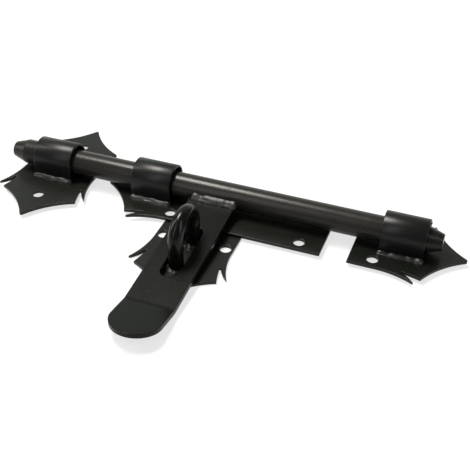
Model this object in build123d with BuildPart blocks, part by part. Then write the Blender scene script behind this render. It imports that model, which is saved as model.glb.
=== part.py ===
import os

from build123d import *

os.makedirs("parts", exist_ok=True)

# Stock sizes
plate_t = 2.0
plate_w = 50.0
rod_d = 16.0
tube_wall = 1.5
tube_l = 26.5
strip_w = 30.0
strip_t = 3.0
staple_d = 9.0
screw_hole_d = 7.0
edge_break = 0.4

# Clearances
rod_play = 1.5
rod_rest_gap = 0.3
handle_seat_gap = 0.05
slot_side_gap = 1.25
slot_front_gap = 10.0
slot_rear_gap = 2.5

# Ornament at a plate's end: two curved barbs, two shoulders, and a point with hollow sides
point_l = 23.8
point_r = 1.2
shoulder_step = 1.0
barb_start = 20.0
barb_tip_back = 3.6
barb_rise = 6.0
notch_back = 10.5
notch_rise = 0.2
notch_width = 0.8
barb_sag = 1.5
barb_inner_sag = 0.32
flank_sag = 0.63
hollow_sag = 2.85

# Guide plate: its four screw holes are centred on the origin, with its back face at Z = 0
guide_hole_pitch = 84.0
guide_right_margin = 14.5
guide_left_margin = 28.5
hole_edge = 6.7
guide_tube_in = 11.5

# Keeper plate
keeper_gap = 10.0
keeper_shoulder_y = 29.7
keeper_hole_out = 0.6

# End plate
end_gap = 16.5
end_l = 43.9
end_hole_in = 14.0
end_tube_in = 15.25

# Staple plate and staple
latch_x = -17.8
staple_lap = 3.0
staple_plate_l = 45.9
staple_hole_in = 15.85
staple_hole_edge = 4.75
staple_rear_in = 18.0
staple_pitch = 25.0
staple_leg_h = 17.25
staple_bead_w = 2.0
staple_bead_h = 2.0
staple_bead_bulge = 0.5

# Rod ends
rod_out_left = 18.95
rod_out_right = 9.1
nose_l = 9.0
nose_drop = 3.0

# Handle strip
strip_drop = 1.6
bend_out = 94.0
bend_gap = 0.2
tip_l = 31.0
tip_lift = 6.0
bend_r = 10.0

# Weld beads
bead_r = 3.4
bead_in = 0.4
bead_h = 2.6
bead_over = 1.0
handle_bead_r = 3.0
handle_bead_out = 1.7
handle_bead_drop = 0.5
handle_bead_over = 1.5
lap_bead_leg = 1.6
lap_bead_l = 41.0

# Levels
plate_top = plate_t
bore_r = rod_d / 2 + rod_play
tube_r = bore_r + tube_wall
tube_flat = 0.6
tube_z = plate_top + tube_r - tube_flat
rod_z = tube_z - bore_r + rod_rest_gap + rod_d / 2

# Places along the rod and across it
half_w = plate_w / 2
guide_hole_x = guide_hole_pitch / 2
guide_right_x = guide_hole_x + guide_right_margin
guide_shoulder_x = -guide_hole_x - guide_left_margin
guide_tube_x = guide_shoulder_x + guide_tube_in
keeper_x = guide_shoulder_x - point_l - keeper_gap - half_w
end_left_x = guide_right_x + end_gap
end_shoulder_x = end_left_x + end_l
end_hole_x = end_left_x + end_hole_in
end_tube_x = end_shoulder_x - end_tube_in
screw_y = half_w - hole_edge
keeper_hole_y = keeper_shoulder_y + keeper_hole_out
staple_rear_y = -half_w + staple_lap
staple_shoulder_y = staple_rear_y - staple_plate_l
staple_hole_y = staple_rear_y - staple_hole_in
staple_hole_x = half_w - staple_hole_edge
staple_back_y = staple_rear_y - staple_rear_in
staple_front_y = staple_back_y - staple_pitch

# Barbed end of a plate, pointing along +X, with its shoulders at X = 0
barb_tip = (-barb_tip_back, half_w + barb_rise)
notch_top = (-notch_back, half_w + notch_rise)
notch_bottom = (-notch_back, half_w + notch_rise - notch_width)
shoulder = (0, half_w + shoulder_step)
with BuildSketch() as barbed_end:
    with BuildLine():
        Line((-barb_start, 0), (-barb_start, half_w))
        SagittaArc((-barb_start, half_w), barb_tip, -barb_sag)
        SagittaArc(barb_tip, notch_top, barb_inner_sag)
        Line(notch_top, notch_bottom)
        SagittaArc(notch_bottom, shoulder, -flank_sag)
        SagittaArc(shoulder, (point_l, 0), -hollow_sag)
        Line((point_l, 0), (-barb_start, 0))
    make_face()
    mirror(about=Plane.XZ)
    fillet(barbed_end.vertices().sort_by(Axis.X)[-1], point_r)

# Keeper plate, on the post: a barbed end on each side of its tube
with BuildPart() as keeper_plate:
    with BuildSketch():
        with Locations((keeper_x, 0)):
            Rectangle(plate_w, 2 * (keeper_shoulder_y - barb_start))
        with Locations(Location((keeper_x, keeper_shoulder_y, 0), (0, 0, 90))):
            add(barbed_end.sketch)
        with Locations(Location((keeper_x, -keeper_shoulder_y, 0), (0, 0, -90))):
            add(barbed_end.sketch)
        with Locations((keeper_x, keeper_hole_y), (keeper_x, -keeper_hole_y)):
            Circle(screw_hole_d / 2, mode=Mode.SUBTRACT)
    extrude(amount=plate_t)
    top_face = keeper_plate.faces().sort_by(Axis.Z)[-1]
    chamfer(top_face.inner_wires().edges(), edge_break)
keeper_plate.part.label = "keeper_plate"
export_step(keeper_plate.part, "parts/keeper_plate.step")

# Keeper tube: a short cut of pipe on a narrow flat
with BuildPart() as keeper_sleeve:
    with BuildSketch(Plane.YZ.offset(keeper_x - tube_l / 2)):
        with Locations((0, tube_z)):
            Circle(tube_r)
            Circle(bore_r, mode=Mode.SUBTRACT)
        with Locations((0, plate_top)):
            Rectangle(2 * tube_r, tube_r, align=(Align.CENTER, Align.MAX), mode=Mode.SUBTRACT)
    extrude(amount=tube_l)
keeper_sleeve.part.label = "keeper_sleeve"
export_step(keeper_sleeve.part, "parts/keeper_sleeve.step")

# Keeper welds: a bead in each corner between the tube and the plate
with BuildPart() as keeper_weld_front:
    with BuildSketch(Plane.YZ.offset(keeper_x - tube_l / 2 - bead_over)):
        with Locations((bead_in - tube_r, plate_top + bead_h)):
            Circle(bead_r)
        with Locations((0, tube_z)):
            Circle(tube_r, mode=Mode.SUBTRACT)
        with Locations((0, plate_top)):
            Rectangle(4 * tube_r, tube_r, align=(Align.CENTER, Align.MAX), mode=Mode.SUBTRACT)
    extrude(amount=tube_l + 2 * bead_over)
keeper_weld_front.part.label = "keeper_weld_front"
export_step(keeper_weld_front.part, "parts/keeper_weld_front.step")

with BuildPart() as keeper_weld_rear:
    mirror(keeper_weld_front.part, about=Plane.XZ)
keeper_weld_rear.part.label = "keeper_weld_rear"
export_step(keeper_weld_rear.part, "parts/keeper_weld_rear.step")

# Guide plate, on the gate: a barbed end to the left, a straight end to the right
guide_body_l = guide_right_x - guide_shoulder_x - barb_start
with BuildPart() as guide_plate:
    with BuildSketch():
        with Locations((guide_right_x, 0)):
            Rectangle(guide_body_l, plate_w, align=(Align.MAX, Align.CENTER))
        with Locations(Location((guide_shoulder_x, 0, 0), (0, 0, 180))):
            add(barbed_end.sketch)
        with GridLocations(guide_hole_pitch, 2 * screw_y, 2, 2):
            Circle(screw_hole_d / 2, mode=Mode.SUBTRACT)
    extrude(amount=plate_t)
    top_face = guide_plate.faces().sort_by(Axis.Z)[-1]
    chamfer(top_face.inner_wires().edges(), edge_break)
guide_plate.part.label = "guide_plate"
export_step(guide_plate.part, "parts/guide_plate.step")

# Guide tube and its welds, cut and laid as on the keeper
guide_shift = Location((guide_tube_x - keeper_x, 0, 0))
with BuildPart() as guide_sleeve:
    add(keeper_sleeve.part.moved(guide_shift))
guide_sleeve.part.label = "guide_sleeve"
export_step(guide_sleeve.part, "parts/guide_sleeve.step")

with BuildPart() as guide_weld_front:
    add(keeper_weld_front.part.moved(guide_shift))
guide_weld_front.part.label = "guide_weld_front"
export_step(guide_weld_front.part, "parts/guide_weld_front.step")

with BuildPart() as guide_weld_rear:
    add(keeper_weld_rear.part.moved(guide_shift))
guide_weld_rear.part.label = "guide_weld_rear"
export_step(guide_weld_rear.part, "parts/guide_weld_rear.step")

# End plate, on the gate: a straight end to the left, a barbed end to the right
with BuildPart() as end_plate:
    with BuildSketch():
        with Locations((end_left_x, 0)):
            Rectangle(end_l - barb_start, plate_w, align=(Align.MIN, Align.CENTER))
        with Locations((end_shoulder_x, 0)):
            add(barbed_end.sketch)
        with Locations((end_hole_x, screw_y), (end_hole_x, -screw_y)):
            Circle(screw_hole_d / 2, mode=Mode.SUBTRACT)
    extrude(amount=plate_t)
    top_face = end_plate.faces().sort_by(Axis.Z)[-1]
    chamfer(top_face.inner_wires().edges(), edge_break)
end_plate.part.label = "end_plate"
export_step(end_plate.part, "parts/end_plate.step")

# End tube and its welds, cut and laid as on the keeper
end_shift = Location((end_tube_x - keeper_x, 0, 0))
with BuildPart() as end_sleeve:
    add(keeper_sleeve.part.moved(end_shift))
end_sleeve.part.label = "end_sleeve"
export_step(end_sleeve.part, "parts/end_sleeve.step")

with BuildPart() as end_weld_front:
    add(keeper_weld_front.part.moved(end_shift))
end_weld_front.part.label = "end_weld_front"
export_step(end_weld_front.part, "parts/end_weld_front.step")

with BuildPart() as end_weld_rear:
    add(keeper_weld_rear.part.moved(end_shift))
end_weld_rear.part.label = "end_weld_rear"
export_step(end_weld_rear.part, "parts/end_weld_rear.step")

# Staple plate: it lies one thickness lower, with its rear edge lapped under the guide plate
with BuildPart() as staple_plate:
    with BuildSketch(Plane.XY.offset(-plate_t)):
        with Locations((latch_x, staple_rear_y)):
            Rectangle(plate_w, staple_plate_l - barb_start, align=(Align.CENTER, Align.MAX))
        with Locations(Location((latch_x, staple_shoulder_y, 0), (0, 0, -90))):
            add(barbed_end.sketch)
        with Locations((latch_x, staple_hole_y)):
            with GridLocations(2 * staple_hole_x, 0, 2, 1):
                Circle(screw_hole_d / 2, mode=Mode.SUBTRACT)
    extrude(amount=plate_t)
    top_face = staple_plate.faces().sort_by(Axis.Z)[-1]
    chamfer(top_face.inner_wires().edges(), edge_break)
staple_plate.part.label = "staple_plate"
export_step(staple_plate.part, "parts/staple_plate.step")

# Lap weld: a bead under the guide plate, along the staple plate's rear edge
with BuildPart() as lap_weld:
    with BuildSketch(Plane.YZ.offset(latch_x - lap_bead_l / 2)):
        with BuildLine():
            Polyline(
                (staple_rear_y, 0),
                (staple_rear_y, -lap_bead_leg),
                (staple_rear_y + lap_bead_leg, 0),
                close=True,
            )
        make_face()
    extrude(amount=lap_bead_l)
lap_weld.part.label = "lap_weld"
export_step(lap_weld.part, "parts/lap_weld.step")

# Padlock staple: round bar bent to an arch, with both feet on the staple plate
staple_r = staple_d / 2
staple_mid_y = (staple_front_y + staple_back_y) / 2
bend_axis = Axis((latch_x, staple_mid_y, staple_leg_h), (-1, 0, 0))
with BuildPart() as padlock_staple:
    with BuildSketch():
        with Locations((latch_x, staple_front_y), (latch_x, staple_back_y)):
            Circle(staple_r)
    extrude(amount=staple_leg_h)
    with BuildSketch(Plane.XY.offset(staple_leg_h)):
        with Locations((latch_x, staple_front_y)):
            Circle(staple_r)
    revolve(axis=bend_axis, revolution_arc=180)
padlock_staple.part.label = "padlock_staple"
export_step(padlock_staple.part, "parts/padlock_staple.step")

# Staple welds: a fillet bead round each foot
with BuildPart() as staple_weld_front:
    with BuildSketch(Plane((latch_x, staple_front_y, 0), (1, 0, 0), (0, -1, 0))):
        with BuildLine():
            Polyline(
                (staple_r, 0),
                (staple_r + staple_bead_w, 0),
                (staple_r + staple_bead_w - staple_bead_bulge, staple_bead_h / 2),
                (staple_r, staple_bead_h),
                close=True,
            )
        make_face()
    revolve(axis=Axis((latch_x, staple_front_y, 0), (0, 0, 1)))
staple_weld_front.part.label = "staple_weld_front"
export_step(staple_weld_front.part, "parts/staple_weld_front.step")

with BuildPart() as staple_weld_rear:
    add(staple_weld_front.part.moved(Location((0, staple_pitch, 0))))
staple_weld_rear.part.label = "staple_weld_rear"
export_step(staple_weld_rear.part, "parts/staple_weld_rear.step")

# Bolt rod: round bar with a tapered nose at both ends
rod_left_x = keeper_x - tube_l / 2 - rod_out_left
rod_right_x = end_tube_x + tube_l / 2 + rod_out_right
with BuildPart() as bolt_rod:
    with BuildSketch(Plane.XZ):
        with BuildLine():
            Polyline(
                (rod_left_x, rod_z),
                (rod_left_x, rod_z + rod_d / 2 - nose_drop),
                (rod_left_x + nose_l, rod_z + rod_d / 2),
                (rod_right_x - nose_l, rod_z + rod_d / 2),
                (rod_right_x, rod_z + rod_d / 2 - nose_drop),
                (rod_right_x, rod_z),
                close=True,
            )
        make_face()
    revolve(axis=Axis((0, 0, rod_z), (1, 0, 0)))
bolt_rod.part.label = "bolt_rod"
export_step(bolt_rod.part, "parts/bolt_rod.step")

# Handle: flat strip butted on the rod, slotted over the staple, its round tip bent up
seat_r = rod_d / 2 + handle_seat_gap
strip_y = -rod_d / 2
strip_z = rod_z - strip_drop
bend_y = strip_y - bend_out
bend_z = bend_gap + strip_t
tip_y = bend_y - tip_l
tip_z = bend_z + tip_lift
slot_front_y = staple_front_y - staple_r - slot_front_gap
slot_rear_y = staple_back_y + staple_r + slot_rear_gap
strip_slope = (strip_z - bend_z) / bend_out
root_z = strip_z + strip_slope * rod_d / 2
with BuildPart() as handle:
    with BuildSketch(Plane.YZ.offset(latch_x)):
        with BuildLine():
            Polyline(
                (0, root_z),
                (bend_y, bend_z),
                (tip_y, tip_z),
                (tip_y, tip_z - strip_t),
                (bend_y, bend_z - strip_t),
                (0, root_z - strip_t),
                close=True,
            )
        make_face()
    extrude(amount=strip_w / 2, both=True)
    bend_edges = handle.edges().filter_by(Axis.X).group_by(Axis.Y)[1]
    fillet(bend_edges, bend_r)
    with BuildSketch(Plane.XY.offset(-plate_t)):
        with Locations((latch_x, tip_y + strip_w / 2)):
            Circle(strip_w / 2)
            Rectangle(strip_w, -tip_y - strip_w / 2, align=(Align.CENTER, Align.MIN))
        with Locations((latch_x, (slot_front_y + slot_rear_y) / 2)):
            slot_l = slot_rear_y - slot_front_y
            slot_w = staple_d + 2 * slot_side_gap
            SlotOverall(slot_l, slot_w, rotation=90, mode=Mode.SUBTRACT)
    extrude(amount=2 * tube_z, mode=Mode.INTERSECT)
    with Locations(Location((latch_x, 0, rod_z), (0, 90, 0))):
        Cylinder(seat_r, 2 * strip_w, mode=Mode.SUBTRACT)
handle.part.label = "handle"
export_step(handle.part, "parts/handle.step")

# Handle weld: a bead in the corner between the rod and the strip's upper face
handle_bead_l = strip_w + 2 * handle_bead_over
with BuildPart() as handle_weld:
    with BuildSketch(Plane.YZ.offset(latch_x - handle_bead_l / 2)):
        with Locations((strip_y - handle_bead_out, rod_z - handle_bead_drop)):
            Circle(handle_bead_r)
        with Locations((0, rod_z)):
            Circle(seat_r, mode=Mode.SUBTRACT)
    extrude(amount=handle_bead_l)
    add(handle.part, mode=Mode.SUBTRACT)
handle_weld.part.label = "handle_weld"
export_step(handle_weld.part, "parts/handle_weld.step")
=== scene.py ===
import math

import bmesh
import bpy
from mathutils import Matrix, Vector, noise


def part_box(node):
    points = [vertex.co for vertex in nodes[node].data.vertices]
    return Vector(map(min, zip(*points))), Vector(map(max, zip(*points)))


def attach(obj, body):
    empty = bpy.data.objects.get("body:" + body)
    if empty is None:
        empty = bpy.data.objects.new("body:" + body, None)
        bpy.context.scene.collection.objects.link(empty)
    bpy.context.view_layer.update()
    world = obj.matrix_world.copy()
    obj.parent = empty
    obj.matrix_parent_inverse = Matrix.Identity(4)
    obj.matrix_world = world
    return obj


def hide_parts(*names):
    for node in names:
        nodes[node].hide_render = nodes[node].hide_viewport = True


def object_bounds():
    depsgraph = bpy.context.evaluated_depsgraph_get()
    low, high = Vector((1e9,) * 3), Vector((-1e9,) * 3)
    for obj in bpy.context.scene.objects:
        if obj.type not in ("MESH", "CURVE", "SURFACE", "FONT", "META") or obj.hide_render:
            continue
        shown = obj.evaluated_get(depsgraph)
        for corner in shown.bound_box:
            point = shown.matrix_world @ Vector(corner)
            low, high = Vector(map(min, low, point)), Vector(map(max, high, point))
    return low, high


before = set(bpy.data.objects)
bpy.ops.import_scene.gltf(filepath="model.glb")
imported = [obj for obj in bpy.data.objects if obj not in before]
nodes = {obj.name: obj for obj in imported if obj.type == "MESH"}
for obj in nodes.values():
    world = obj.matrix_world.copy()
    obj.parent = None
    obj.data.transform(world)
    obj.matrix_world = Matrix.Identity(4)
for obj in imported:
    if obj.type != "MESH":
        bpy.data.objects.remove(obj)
cad_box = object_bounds()


# The four flat plates: 2 mm mild steel bar, with barbs and points cut at the ends and screw
# holes punched. Each stands in for a plain plate of the same size. All is painted semi-gloss
# black once it is welded and shows faint orange peel, with a painted highlight along the cut edges.
MM = 0.001


class Field:
    """A value over a painted surface. Sums with it add Math nodes to its material."""

    def __init__(self, tree, socket=None):
        self.tree = tree
        self.socket = socket

    def node(self, kind, settings=None, inputs=None, output=0):
        made = self.tree.nodes.new(kind)
        for name, value in (settings or {}).items():
            if name == "stops":
                for stop, (place, shade) in zip(made.color_ramp.elements, value):
                    stop.position = place
                    stop.color = (shade, shade, shade, 1)
            else:
                setattr(made, name, value)
        for name, value in (inputs or {}).items():
            if isinstance(value, Field):
                self.tree.links.new(value.socket, made.inputs[name])
            else:
                made.inputs[name].default_value = value
        return Field(self.tree, made.outputs[output] if len(made.outputs) else None)

    def maths(self, operation, left, right):
        return self.node("ShaderNodeMath", {"operation": operation}, {0: left, 1: right})

    def __add__(self, other):
        return self.maths("ADD", self, other)

    def __radd__(self, other):
        return self.maths("ADD", other, self)

    def __sub__(self, other):
        return self.maths("SUBTRACT", self, other)

    def __rsub__(self, other):
        return self.maths("SUBTRACT", other, self)

    def __mul__(self, other):
        return self.maths("MULTIPLY", self, other)

    def __rmul__(self, other):
        return self.maths("MULTIPLY", other, self)


# What all the black paints share: cloudiness of tone and gloss, rubbed spots, orange peel, and a
# painted highlight along the edges.
# Each noise has its scale, per metre, and its detail.
cloud_noise, grain_noise = (45.0, 3.0), (420.0, 1.0)
speck_noise, scuff_noise = (1100.0, 2.0), (170.0, 5.0)
tone_spread = 0.22
cloud_gloss, speck_gloss, rubbed_gloss = 0.14, 0.06, 0.07
rubbed_from, rubbed_full = 0.62, 0.76
edge_full = 0.25
edge_samples = 6
peel_depth = 0.05
peel_speck = 0.3
noise_middle = 0.5


def black_paint(name, colour, roughness, peel, edge_mm, edge_highlight, shine):
    """Black paint on steel, cloudy in tone and gloss, with orange peel and a painted highlight on
    its edges.
    """
    paint = bpy.data.materials.new(name)
    paint.use_nodes = True
    paint.node_tree.nodes.clear()
    skin = Field(paint.node_tree)
    place = skin.node("ShaderNodeTexCoord", output="Object")
    cloud, grain, speck, scuff = [
        skin.node("ShaderNodeTexNoise", {}, {"Vector": place, "Scale": scale, "Detail": detail})
        for scale, detail in (cloud_noise, grain_noise, speck_noise, scuff_noise)
    ]
    stops = ((rubbed_from, 0), (rubbed_full, 1))
    rubbed = skin.node("ShaderNodeValToRGB", {"stops": stops}, {"Fac": scuff})
    rounded = skin.node("ShaderNodeBevel", {"samples": edge_samples}, {"Radius": edge_mm * MM})
    facing = skin.node("ShaderNodeNewGeometry", output="Normal")
    square = skin.node(
        "ShaderNodeVectorMath", {"operation": "DOT_PRODUCT"}, {0: rounded, 1: facing}, "Value"
    )
    edge = skin.node("ShaderNodeMapRange", {}, {"Value": 1 - square, "From Max": edge_full})
    thin = (*[value * (1 - tone_spread) for value in colour], 1)
    thick = (*[value * (1 + tone_spread) for value in colour], 1)
    # A paler colour along the edges: a painted highlight where the rounded rims catch the light.
    pale = (*[value * edge_highlight for value in colour], 1)
    toned = skin.node("ShaderNodeMix", {"data_type": "RGBA"}, {0: cloud, 6: thin, 7: thick}, 2)
    edge_highlighted = skin.node("ShaderNodeMix", {"data_type": "RGBA"}, {0: edge, 6: toned, 7: pale}, 2)
    gloss = (
        roughness
        + (cloud - noise_middle) * cloud_gloss
        + (speck - noise_middle) * speck_gloss
        + rubbed * rubbed_gloss
    )
    relief = skin.node(
        "ShaderNodeBump",
        {},
        {
            "Strength": peel,
            "Distance": peel_depth * MM,
            "Height": grain + speck * peel_speck,
            "Normal": rounded,
        },
    )
    steel = skin.node(
        "ShaderNodeBsdfPrincipled",
        {},
        {
            "Base Color": edge_highlighted,
            "Roughness": gloss,
            "Normal": relief,
            "Specular IOR Level": shine,
        },
    )
    skin.node("ShaderNodeOutputMaterial", {}, {"Surface": steel})
    return paint


plate_paint = black_paint(
    "plate_paint",
    colour=(0.0038, 0.0046, 0.0033),
    roughness=0.30,
    peel=0.25,
    edge_mm=0.5,
    edge_highlight=2.2,
    shine=0.25,
)

# A barbed end, in mm from the middle of its shoulders, with the point along X
half_w = 25.0
barb_start = (-29.0, half_w)
barb_tip = (-3.4, half_w + 5.9)
notch_top = (-12.3, half_w - 1.0)
notch_bottom = (-12.3, half_w - 1.8)
shoulder = (0.0, half_w + 1.0)
point = (23.8, 0.0)
back_bow, belly_bow, notch_bow, flank_bow = -1.7, 0.7, -0.2, -2.85
back_steps, belly_steps, notch_steps, flank_steps = 24, 14, 8, 28
tip_reach = 22.615
tip_r = 1.2
tip_turn = math.radians(61)
tip_steps = 8
tip_blend = 0.75
hole_r = 3.5
hole_steps = 40
hole_turns = [2 * math.pi * k / hole_steps for k in range(hole_steps)]
plate_rim = 0.2
merge_gap = 0.001


def bowed(start, end, bow, steps):
    """Points on an arc between two corners. A positive bow lies to the left of the way."""
    start, end = Vector(start), Vector(end)
    half = (end - start) / 2
    left = Vector((-half.y, half.x)).normalized()
    radius = (half.length_squared + bow * bow) / (2 * abs(bow))
    middle = start + half + left * (bow - math.copysign(radius, bow))
    reach = math.asin(min(1.0, half.length / radius))
    points = []
    for k in range(steps):
        turn = reach * (2 * k / steps - 1)
        away = left * math.copysign(math.cos(turn), bow) + half.normalized() * math.sin(turn)
        points.append(tuple(middle + away * radius))
    return points


def barbed_end(place, degrees):
    """A plate's end: barb, notch, shoulder and hollow flank to a rounded point, on both sides."""
    side = bowed(barb_start, barb_tip, back_bow, back_steps)
    side += bowed(barb_tip, notch_top, belly_bow, belly_steps) + [notch_top]
    side += bowed(notch_bottom, shoulder, notch_bow, notch_steps)
    side += bowed(shoulder, point, flank_bow, flank_steps)
    side = [corner for corner in side if corner[0] < tip_reach - tip_blend]
    nose = [tip_turn * (k / tip_steps - 1) for k in range(2 * tip_steps + 1)]
    outline = [(x, -y) for x, y in side]
    outline += [(tip_reach - tip_r + tip_r * math.cos(a), tip_r * math.sin(a)) for a in nose]
    outline += list(reversed(side))
    turn = Matrix.Rotation(math.radians(degrees), 2)
    return [tuple(turn @ Vector(corner) + Vector(place)) for corner in outline]


def plate_piece(node, outline, holes):
    """A flat plate with eased rims, cut to an outline, with its screw holes."""
    low, high = (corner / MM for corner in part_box(node))
    loops = [outline]
    for x, y in holes:
        loops.append([(x + hole_r * math.sin(a), y + hole_r * math.cos(a)) for a in hole_turns])
    drawing = bpy.data.curves.new(node, "CURVE")
    drawing.dimensions = "2D"
    drawing.fill_mode = "BOTH"
    drawing.extrude = (high.z - low.z) / 2 - plate_rim
    drawing.bevel_depth = plate_rim
    drawing.bevel_resolution = 1
    drawing.offset = -plate_rim
    for loop in loops:
        spline = drawing.splines.new("POLY")
        spline.points.add(len(loop) - 1)
        for corner, (x, y) in zip(spline.points, loop):
            corner.co = (x, y, 0, 1)
        spline.use_cyclic_u = True
    drawn = bpy.data.objects.new(node, drawing)
    bpy.context.scene.collection.objects.link(drawn)
    ready = drawn.evaluated_get(bpy.context.evaluated_depsgraph_get())
    cut = bpy.data.meshes.new_from_object(ready)
    bpy.data.objects.remove(drawn)
    mesh = bmesh.new()
    mesh.from_mesh(cut)
    bmesh.ops.remove_doubles(mesh, verts=mesh.verts, dist=merge_gap)
    bmesh.ops.translate(mesh, verts=mesh.verts, vec=(0, 0, (low.z + high.z) / 2))
    bmesh.ops.scale(mesh, verts=mesh.verts, vec=(MM, MM, MM))
    bmesh.ops.recalc_face_normals(mesh, faces=mesh.faces)
    for face in mesh.faces:
        face.smooth = False
    shape = bpy.data.meshes.new(node.replace("plate", "barbed_plate"))
    mesh.to_mesh(shape)
    mesh.free()
    shape.materials.append(plate_paint)
    plate = bpy.data.objects.new(shape.name, shape)
    bpy.context.scene.collection.objects.link(plate)
    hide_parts(node)
    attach(plate, "base")


keeper_hole_y = 30.3
low, high = (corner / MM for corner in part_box("keeper_plate"))
keeper_x = (low.x + high.x) / 2
keeper_ends = barbed_end((keeper_x, high.y - tip_reach), 90)
keeper_ends += barbed_end((keeper_x, low.y + tip_reach), -90)
plate_piece("keeper_plate", keeper_ends, [(keeper_x, keeper_hole_y), (keeper_x, -keeper_hole_y)])

guide_hole_x = 42.0
row_hole_y = 18.3
low, high = (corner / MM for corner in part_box("guide_plate"))
guide_end = barbed_end((low.x + tip_reach, 0), 180)
plate_piece(
    "guide_plate",
    guide_end + [(high.x, -half_w), (high.x, half_w)],
    [(x, y) for x in (guide_hole_x, -guide_hole_x) for y in (row_hole_y, -row_hole_y)],
)

staple_hole_out = 20.25
staple_hole_y = -37.85
low, high = (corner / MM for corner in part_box("staple_plate"))
staple_x = (low.x + high.x) / 2
staple_end = barbed_end((staple_x, low.y + tip_reach), -90)
plate_piece(
    "staple_plate",
    staple_end + [(staple_x + half_w, high.y), (staple_x - half_w, high.y)],
    [(staple_x + out, staple_hole_y) for out in (staple_hole_out, -staple_hole_out)],
)

end_hole_x = 87.0
low, high = (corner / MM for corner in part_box("end_plate"))
pointed_end = barbed_end((high.x - tip_reach, 0), 0)
plate_piece(
    "end_plate",
    pointed_end + [(low.x, half_w), (low.x, -half_w)],
    [(end_hole_x, row_hole_y), (end_hole_x, -row_hole_y)],
)


# The three straps: 1.5 mm flat bar bent to an arch over the bolt, with straight legs, stood on
# the keeper, guide and end plates. Each takes the place of a plain tube of the same height,
# width and length, and the paint rounds its sheared rims.
strap_paint = black_paint(
    "strap_paint",
    colour=(0.0052, 0.0058, 0.0054),
    roughness=0.31,
    peel=0.3,
    edge_mm=0.7,
    edge_highlight=1.9,
    shine=0.17,
)
strap_t = 1.5
strap_rim = 0.25
rim_angle = 1.0
arch_steps = 72
for place in ("keeper", "guide", "end"):
    low, high = (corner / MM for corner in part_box(f"{place}_sleeve"))
    arch_r = (high.y - low.y) / 2
    arch_z = high.z - arch_r
    sides = []
    for radius in (arch_r, arch_r - strap_t):
        turns = [math.pi * k / arch_steps for k in range(arch_steps + 1)]
        arch = [(-radius * math.cos(turn), arch_z + radius * math.sin(turn)) for turn in turns]
        sides.append([(-radius, low.z)] + arch + [(radius, low.z)])
    mesh = bmesh.new()
    rows = [
        [[mesh.verts.new(Vector((x, y, z)) * MM) for y, z in side] for side in sides]
        for x in (low.x, high.x)
    ]
    (left_outer, left_inner), (right_outer, right_inner) = rows
    for first, second in (
        (left_outer, right_outer),
        (right_inner, left_inner),
        (left_inner, left_outer),
        (right_outer, right_inner),
    ):
        for k in range(len(first) - 1):
            mesh.faces.new((first[k], second[k], second[k + 1], first[k + 1]))
    for foot in (0, -1):
        mesh.faces.new((left_outer[foot], right_outer[foot], right_inner[foot], left_inner[foot]))
    bmesh.ops.recalc_face_normals(mesh, faces=mesh.faces)
    rims = [edge for edge in mesh.edges if edge.calc_face_angle() > rim_angle]
    bmesh.ops.bevel(
        mesh, geom=rims, offset=strap_rim * MM, segments=2, profile=0.5, affect="EDGES"
    )
    for face in mesh.faces:
        face.smooth = True
    shape = bpy.data.meshes.new(f"{place}_strap")
    mesh.to_mesh(shape)
    mesh.free()
    shape.materials.append(strap_paint)
    strap = bpy.data.objects.new(f"{place}_strap", shape)
    bpy.context.scene.collection.objects.link(strap)
    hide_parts(f"{place}_sleeve")
    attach(strap, "base")


# The strap welds: one low hand-run bead along each foot of a strap. A bead has two or three
# strands side by side, a blob where the run stopped, ragged edges and glossy pooled paint.
weld_colour = (0.009, 0.009, 0.0084)
weld_paint = black_paint(
    "weld_paint",
    colour=weld_colour,
    roughness=0.33,
    peel=0.15,
    edge_mm=0.15,
    edge_highlight=1.4,
    shine=0.44,
)


def bead_piece(name, rings, closed, node, body, paint):
    """A closed bead of weld through rings of points, in place of its plain solid."""
    mesh = bmesh.new()
    made = [[mesh.verts.new(Vector(spot) * MM) for spot in ring] for ring in rings]
    pairs = list(zip(made, made[1:]))
    if closed:
        pairs.append((made[-1], made[0]))
    else:
        mesh.faces.new(made[0])
        mesh.faces.new(list(reversed(made[-1])))
    for ring, following in pairs:
        count = len(ring)
        for k in range(count):
            after = (k + 1) % count
            mesh.faces.new((ring[k], following[k], following[after], ring[after]))
    bmesh.ops.recalc_face_normals(mesh, faces=mesh.faces)
    for face in mesh.faces:
        face.smooth = True
    shape = bpy.data.meshes.new(name)
    mesh.to_mesh(shape)
    mesh.free()
    bead = bpy.data.objects.new(name, shape)
    bpy.context.scene.collection.objects.link(bead)
    shape.materials.append(paint)
    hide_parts(node)
    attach(bead, body)


# How far a bead's parts wander, as shares of its size, how often, in turns per mm of run, and
# the place in the noise that keeps each one's wandering its own
toe_wander, toe_pace, toe_place = 0.14, 0.19, 0.0
ripple_wander, ripple_pace, ripple_place = 0.06, 0.5, 3.0
crown_wander, crown_pace, crown_place = 0.3, 0.22, 7.0
strand_drift, drift_pace, drift_place = 0.45, 0.11, 21.0
strand_rise, strand_keep = 0.36, 0.6
strand_fade, fade_pace, fade_place = 0.8, 0.16, 4.0
lump_rise, lump_pace, lump_place = 0.3, 0.24, 11.0
plain_rise = 0.9
across_pace = 0.8
section_steps = 20


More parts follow.
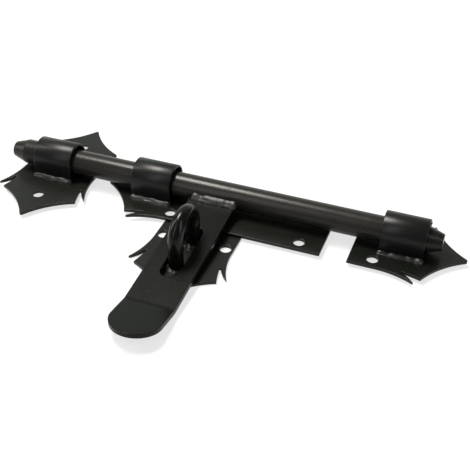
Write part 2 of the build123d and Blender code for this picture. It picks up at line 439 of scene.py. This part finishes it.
def bead_section(toe, crown, root, bulge, strands, along, seed, swell):
    """One cut through a bead: toe on the flat, crown on the upright, root in the corner."""
    toe, crown, root = Vector(toe), Vector(crown), Vector(root)
    wander = toe_wander * noise.noise((along * toe_pace, seed, toe_place))
    ripple = ripple_wander * noise.noise((along * ripple_pace, seed, ripple_place))
    toe = toe + (toe - root) * (wander + ripple)
    lift = noise.noise((along * crown_pace, seed, crown_place))
    crown = crown + (crown - root) * crown_wander * lift
    outward = Vector((-(crown - toe).y, (crown - toe).x)).normalized()
    if outward.dot(toe - root) < 0:
        outward = -outward
    drift = strand_drift * noise.noise((along * drift_pace, seed, drift_place))
    points = []
    for k in range(section_steps + 1):
        t = k / section_steps
        arch = math.sin(math.pi * t)
        strand = math.sin(2 * math.pi * (strands * t + drift))
        fade = noise.noise((along * fade_pace, seed + fade_place, t * across_pace))
        fade = strand_keep + strand_fade * fade
        lump = noise.noise((along * lump_pace, seed + lump_place, t * across_pace))
        rise = bulge * arch * (plain_rise + strand_rise * strand * fade + lump_rise * lump)
        points.append(root + ((toe + (crown - toe) * t + outward * rise) - root) * swell)
    return points + [root]


# A bead's rounded ends, and the blob where its run stopped, in mm
round_off = 2.2
nose_left = 0.06
blob_back, blob_spread = 2.4, 1.8


def end_swell(along, length, blob):
    """A bead starts in a rounded nose and stops in a blob."""
    reach = min(along, length - along, round_off) / round_off
    stop = math.exp(-(((length - along - blob_back) / blob_spread) ** 2))
    return (nose_left + (1 - nose_left) * math.sqrt(1 - (1 - reach) ** 2)) * (1 + blob * stop)


bead_toe = (13.6, 1.97)
bead_crown = (10.97, 3.9)
bead_root = (10.95, 1.95)
bead_bulge, bead_strands, bead_blob = 0.55, 2.4, 0.22
bead_over = 0.9
bead_stations = 170
seed_step = 5.0
for count, place in enumerate(("keeper", "guide", "end")):
    low, high = (corner.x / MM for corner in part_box(f"{place}_sleeve"))
    length = high - low + 2 * bead_over
    for side, sign in (("front", -1), ("rear", 1)):
        seed = seed_step * count + sign
        rings = []
        for k in range(bead_stations + 1):
            along = length * k / bead_stations
            swell = end_swell(along, length, bead_blob)
            cut = bead_section(
                bead_toe, bead_crown, bead_root, bead_bulge, bead_strands, along, seed, swell
            )
            rings.append([(low - bead_over + along, sign * spot.x, spot.y) for spot in cut])
        bead_piece(f"{place}_bead_{side}", rings, False, f"{place}_weld_{side}", "base", weld_paint)


# The lap weld: a thin run under the guide plate that holds the staple plate's rear edge. It
# faces the gate, so it stays flat and neat.
nodes["lap_weld"].material_slots[0].material = weld_paint


# The padlock staple: 9 mm round bar bent cold to an arch and stood on the staple plate. The
# paint on it is glossier than on the plates, as it runs down the bar before it dries.
bar_paint = black_paint(
    "bar_paint",
    colour=(0.0034, 0.0034, 0.0031),
    roughness=0.22,
    peel=0.12,
    edge_mm=0.3,
    edge_highlight=1.5,
    shine=0.17,
)
nodes["padlock_staple"].material_slots[0].material = bar_paint


# The staple welds: a ring of bead round each foot of the staple, on the staple plate. Paint
# that ran down the bar has pooled on them, so they are the glossiest of the beads.
pool_paint = black_paint(
    "pool_paint",
    colour=weld_colour,
    roughness=0.24,
    peel=0.1,
    edge_mm=0.15,
    edge_highlight=1.4,
    shine=0.55,
)
foot_leg = 1.8
foot_sink, root_sink = 0.03, 0.05
foot_bulge, foot_strands = 0.3, 1.2
foot_stations = 110
staple_low, staple_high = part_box("padlock_staple")
bar_r = (staple_high.x - staple_low.x) / 2 / MM
latch_x = (staple_high.x + staple_low.x) / 2 / MM
foot_toe = (bar_r + foot_leg, -foot_sink)
foot_crown = (bar_r - foot_sink, foot_leg)
foot_root = (bar_r - root_sink, -root_sink)
foot_run_r = bar_r + 1.0
for side, foot_y in (("front", staple_low.y / MM + bar_r), ("rear", staple_high.y / MM - bar_r)):
    rings = []
    for k in range(foot_stations):
        turn = 2 * math.pi * k / foot_stations
        around = turn * foot_run_r
        cut = bead_section(
            foot_toe, foot_crown, foot_root, foot_bulge, foot_strands, around, foot_y, 1.0
        )
        rings.append(
            [
                (latch_x + spot.x * math.cos(turn), foot_y + spot.x * math.sin(turn), spot.y)
                for spot in cut
            ]
        )
    bead_piece(f"staple_bead_{side}", rings, True, f"staple_weld_{side}", "base", pool_paint)


# The bolt: 16 mm round bar, turned to a taper at both ends, that slides under the three straps.
# Sliding has rubbed its paint smooth, and the tool's rings still show through it on the tapers.
# The rod's base colour is lighter than the other black paints: a painted sheen for the light that
# its front reflects.
rod_sheen_paint = black_paint(
    "rod_sheen_paint",
    colour=(0.0126, 0.0120, 0.0104),
    roughness=0.28,
    peel=0.2,
    edge_mm=0.6,
    edge_highlight=1.6,
    shine=0.17,
)
nodes["bolt_rod"].material_slots[0].material = rod_sheen_paint
turned_colour = (0.0062, 0.0058, 0.0050, 1)
turned_share, ring_share = 0.5, 0.3
nose_length = 9.0
nose_before, nose_after = 0.1, 0.2
ring_pitch = 1.1
ring_depth, ring_strength = 0.06, 0.5
rod_low, rod_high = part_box("bolt_rod")
nose_from = (rod_high.x - rod_low.x) / 2 - nose_length * MM
bar = Field(rod_sheen_paint.node_tree)
spot = bar.node("ShaderNodeTexCoord", output="Object")
along_rod = bar.node("ShaderNodeSeparateXYZ", {}, {0: spot}, "X")
from_middle = bar.maths("ABSOLUTE", along_rod - (rod_low.x + rod_high.x) / 2, 0.0)
on_nose = bar.node(
    "ShaderNodeMapRange",
    {},
    {
        "Value": from_middle,
        "From Min": nose_from - nose_before * MM,
        "From Max": nose_from + nose_after * MM,
    },
)
tool_rings = bar.maths("SINE", along_rod * (2 * math.pi / (ring_pitch * MM)), 0.0)
rod_steel = rod_sheen_paint.node_tree.nodes["Principled BSDF"]
rod_tone = Field(bar.tree, rod_steel.inputs["Base Color"].links[0].from_socket)
rod_relief = Field(bar.tree, rod_steel.inputs["Normal"].links[0].from_socket)
turned_tone = bar.node(
    "ShaderNodeMix",
    {"data_type": "RGBA"},
    {0: on_nose * (turned_share + ring_share * tool_rings), 6: rod_tone, 7: turned_colour},
    2,
)
turned_relief = bar.node(
    "ShaderNodeBump",
    {},
    {
        "Strength": ring_strength,
        "Distance": ring_depth * MM,
        "Height": tool_rings * on_nose,
        "Normal": rod_relief,
    },
)
bar.tree.links.new(turned_tone.socket, rod_steel.inputs["Base Color"])
bar.tree.links.new(turned_relief.socket, rod_steel.inputs["Normal"])


# The handle: 30 by 3 mm steel strip with a long slot that drops over the staple. Its tip is
# rounded and bent up as a finger lift, and its paint is the plates' with less shine.
handle_paint = black_paint(
    "handle_paint",
    colour=(0.0024, 0.0030, 0.0020),
    roughness=0.29,
    peel=0.25,
    edge_mm=0.5,
    edge_highlight=2.6,
    shine=0.13,
)
nodes["handle"].material_slots[0].material = handle_paint


# The handle weld: a thick, ragged bead that joins the strip's end to the bolt. The paint on it
# is duller than on the beads of the straps.
joint_paint = black_paint(
    "joint_paint",
    colour=weld_colour,
    roughness=0.46,
    peel=0.15,
    edge_mm=0.15,
    edge_highlight=1.4,
    shine=0.38,
)
handle_low, handle_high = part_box("handle")
rod_z = (rod_low.z + rod_high.z) / 2 / MM
joint_toe = (11.9, rod_z - 1.89)
joint_crown = (7.78, rod_z + 1.7)
joint_root = (7.8, rod_z - 1.65)
joint_bulge, joint_strands, joint_blob = 0.7, 1.7, 0.12
joint_seed = 41.0
joint_stations = 200
run_in, run_over = 0.9, 0.6
run_low = handle_low.x / MM + run_in
run_length = (handle_high.x - handle_low.x) / MM + run_over
rings = []
for k in range(joint_stations + 1):
    along = run_length * k / joint_stations
    swell = end_swell(along, run_length, joint_blob)
    cut = bead_section(
        joint_toe, joint_crown, joint_root, joint_bulge, joint_strands, along, joint_seed, swell
    )
    rings.append([(run_low + along, -spot.x, spot.y) for spot in cut])
bead_piece("handle_bead", rings, False, "handle_weld", "handle", joint_paint)


# The studio: a plain pale floor that the camera sees almost white, one soft lamp high on the
# left, two wide dim cards behind, three narrow strip lamps and a dim even surround.
floor_grey = 0.72
glow_share = 0.7
span = 6.0
floor_gap = 0.0002
floor_z = cad_box[0][2] - floor_gap
floor_mesh = bpy.data.meshes.new("floor")
floor_mesh.from_pydata(
    [(x, y, floor_z) for x, y in ((-span, -span), (span, -span), (span, span), (-span, span))],
    [],
    [(0, 1, 2, 3)],
)
floor = bpy.data.objects.new("floor", floor_mesh)
bpy.context.scene.collection.objects.link(floor)
floor_card = bpy.data.materials.new("floor_card")
floor_card.use_nodes = True
floor_card.node_tree.nodes.clear()
card = Field(floor_card.node_tree)
paper = card.node("ShaderNodeBsdfDiffuse", {}, {"Color": (floor_grey, floor_grey, floor_grey, 1)})
glow = card.node("ShaderNodeEmission", {}, {"Color": (1, 1, 1, 1), "Strength": 1.0})
seen = card.node("ShaderNodeLightPath", output="Is Camera Ray")
mirrored = card.node("ShaderNodeLightPath", output="Is Glossy Ray")
through = card.node("ShaderNodeLightPath", output="Is Transmission Ray")
white = card.node(
    "ShaderNodeMixShader", {}, {0: (seen + mirrored + through) * glow_share, 1: paper, 2: glow}
)
card.node("ShaderNodeOutputMaterial", {}, {"Surface": white})
floor_mesh.materials.append(floor_card)


def soft_lamp(name, place, width, depth, power, colour):
    """A rectangular soft box that faces the latch."""
    light = bpy.data.lights.new(name, "AREA")
    light.shape = "RECTANGLE"
    light.size = width
    light.size_y = depth
    light.energy = power
    light.color = colour
    lamp = bpy.data.objects.new(name, light)
    bpy.context.scene.collection.objects.link(lamp)
    lamp.location = place
    lamp.rotation_euler = (-Vector(place)).to_track_quat("-Z", "Y").to_euler()


warm, neutral = (1.0, 0.95, 0.89), (1.0, 1.0, 1.0)
cool, pale_cool = (0.94, 1.0, 0.92), (0.96, 1.0, 0.95)
soft_lamp("key", (-0.42, 0.13, 1.08), width=0.42, depth=0.24, power=20.0, colour=warm)
soft_lamp("back_card", (-0.45, 1.25, 0.95), width=3.0, depth=1.75, power=8.0, colour=cool)
soft_lamp("low_card", (-0.6, 1.7, 0.36), width=2.6, depth=0.56, power=3.2, colour=pale_cool)
soft_lamp("front_strip", (-0.45, -1.2, 0.95), width=0.14, depth=1.3, power=5.0, colour=neutral)
soft_lamp("right_strip", (1.25, -0.35, 0.85), width=0.16, depth=1.3, power=7.0, colour=neutral)
soft_lamp("left_strip", (-1.3, -0.25, 0.8), width=0.14, depth=1.3, power=11.0, colour=neutral)
surround_strength = 0.15
world = bpy.data.worlds.new("surround")
bpy.context.scene.world = world
world.use_nodes = True
world.node_tree.nodes["Background"].inputs["Color"].default_value = (1, 1, 1, 1)
world.node_tree.nodes["Background"].inputs["Strength"].default_value = surround_strength


# The camera, at the photograph's angle and distance for a square picture. It looks down on the
# latch from the right of the handle, with a roll of about half a degree.
camera_place = (0.1507, -0.42675, 0.330)
turn = math.radians(20.11)
height = math.radians(37.52)
roll = math.radians(-0.59)
ahead = math.cos(height)
back = Vector((math.sin(turn) * ahead, -math.cos(turn) * ahead, math.sin(height)))
level = Vector((math.cos(turn), math.sin(turn), 0))
upright = back.cross(level)
right = level * math.cos(roll) - upright * math.sin(roll)
up = level * math.sin(roll) + upright * math.cos(roll)
lens = bpy.data.cameras.new("camera")
lens.lens = 68.17
lens.sensor_width = 36.0
lens.clip_start = 0.01
camera = bpy.data.objects.new("camera", lens)
bpy.context.scene.collection.objects.link(camera)
facing = Matrix((right, up, back)).transposed().to_4x4()
camera.matrix_world = Matrix.Translation(camera_place) @ facing
bpy.context.scene.camera = camera
bpy.context.scene.view_settings.view_transform = "Standard"
